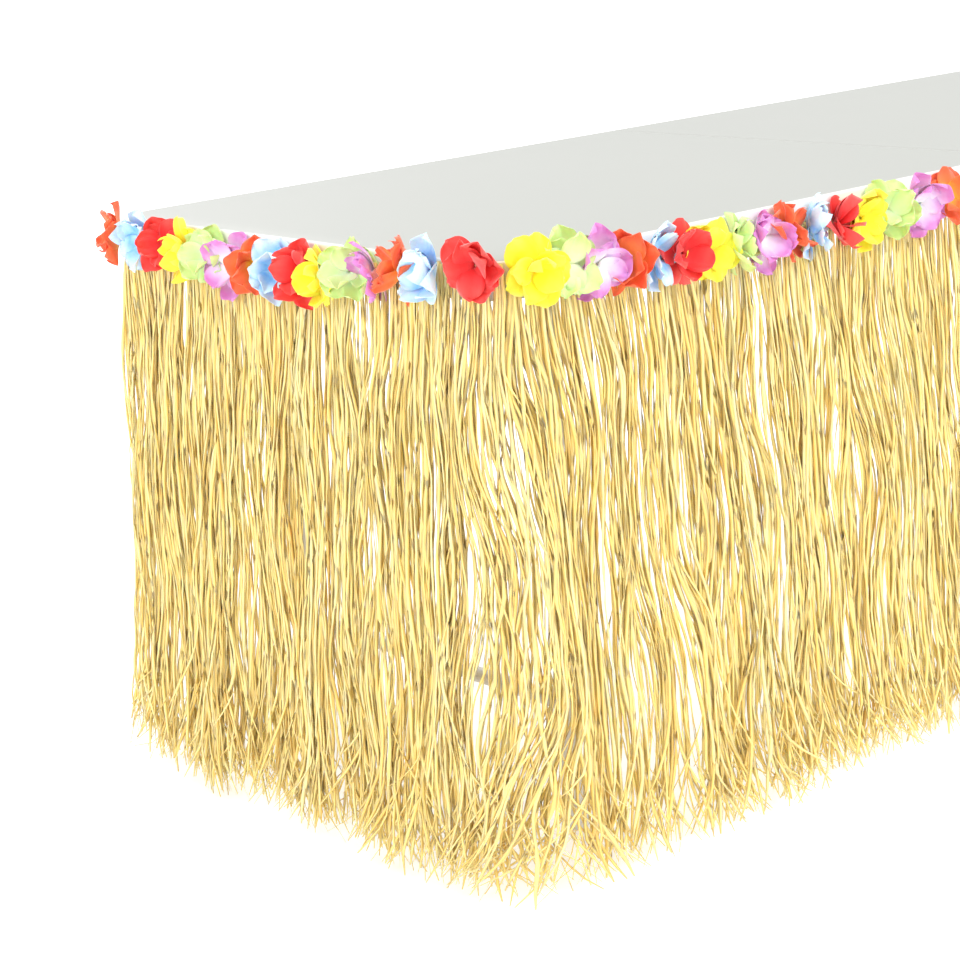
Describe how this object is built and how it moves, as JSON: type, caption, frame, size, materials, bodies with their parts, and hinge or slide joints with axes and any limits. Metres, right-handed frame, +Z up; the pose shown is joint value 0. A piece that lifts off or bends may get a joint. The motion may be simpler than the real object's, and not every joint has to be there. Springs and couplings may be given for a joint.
{
  "type": "grass table skirt on a table",
  "caption": "Raffia grass table skirt with a heading band of silk flowers, hung round the front and one end of a plain white rectangular table that stands on two tube leg frames.",
  "frame": {"origin": "on the floor under the middle of the whole part's box", "axes": "+Z up, +X along the table towards the short return of the skirt, -Y towards the dressed front"},
  "size_m": [1.95, 0.8492, 0.7625],
  "materials": {
    "raffia": "matt crinkled ribbon with a faint sheen",
    "heading_tape": "matt woven tape",
    "petal_orange": "thin translucent silk, yellow at the centre",
    "petal_blue": "thin translucent silk, paler at the petals' edges",
    "petal_red": "thin translucent silk",
    "petal_yellow": "thin translucent silk",
    "petal_green": "thin translucent silk, nearly white at the centre",
    "petal_lilac": "thin translucent silk, nearly white at the centre",
    "table_plastic": "satin, fine moulded grain",
    "leg_paint": "satin powder coat"
  },
  "bodies": {
    "root": {"table_top": "table_plastic", "leg_frame_left": "leg_paint", "leg_frame_right": "leg_paint", "heading_tape": "heading_tape", "fringe_left_end": "raffia", "fringe_near_corner": "raffia", "fringe_front": "raffia", "fringe_right_return": "raffia", "flower_01_orange": "petal_orange", "flower_02_blue": "petal_blue", "flower_03_red": "petal_red", "flower_04_yellow": "petal_yellow", "flower_05_green": "petal_green", "flower_06_lilac": "petal_lilac", "flower_07_orange": "petal_orange", "flower_08_blue": "petal_blue", "flower_09_red": "petal_red", "flower_10_yellow": "petal_yellow", "flower_11_green": "petal_green", "flower_12_lilac": "petal_lilac", "flower_13_orange": "petal_orange", "flower_14_blue": "petal_blue", "flower_15_red": "petal_red", "flower_16_yellow": "petal_yellow", "flower_17_green": "petal_green", "flower_18_lilac": "petal_lilac", "flower_19_orange": "petal_orange", "flower_20_blue": "petal_blue", "flower_21_red": "petal_red", "flower_22_yellow": "petal_yellow", "flower_23_green": "petal_green", "flower_24_lilac": "petal_lilac", "flower_25_orange": "petal_orange", "flower_26_blue": "petal_blue", "flower_27_red": "petal_red", "flower_28_yellow": "petal_yellow", "flower_29_green": "petal_green", "flower_30_lilac": "petal_lilac", "flower_31_orange": "petal_orange", "flower_32_blue": "petal_blue", "flower_33_red": "petal_red", "flower_34_yellow": "petal_yellow", "flower_35_green": "petal_green", "flower_36_lilac": "petal_lilac", "flower_37_orange": "petal_orange", "flower_38_blue": "petal_blue", "flower_39_red": "petal_red", "flower_40_yellow": "petal_yellow", "flower_41_green": "petal_green", "flower_42_lilac": "petal_lilac", "flower_43_orange": "petal_orange", "flower_44_blue": "petal_blue", "flower_45_red": "petal_red", "flower_46_yellow": "petal_yellow", "flower_47_green": "petal_green", "flower_48_lilac": "petal_lilac", "flower_49_orange": "petal_orange", "flower_50_blue": "petal_blue", "flower_51_red": "petal_red", "flower_52_yellow": "petal_yellow"}
  },
  "joints": []
}
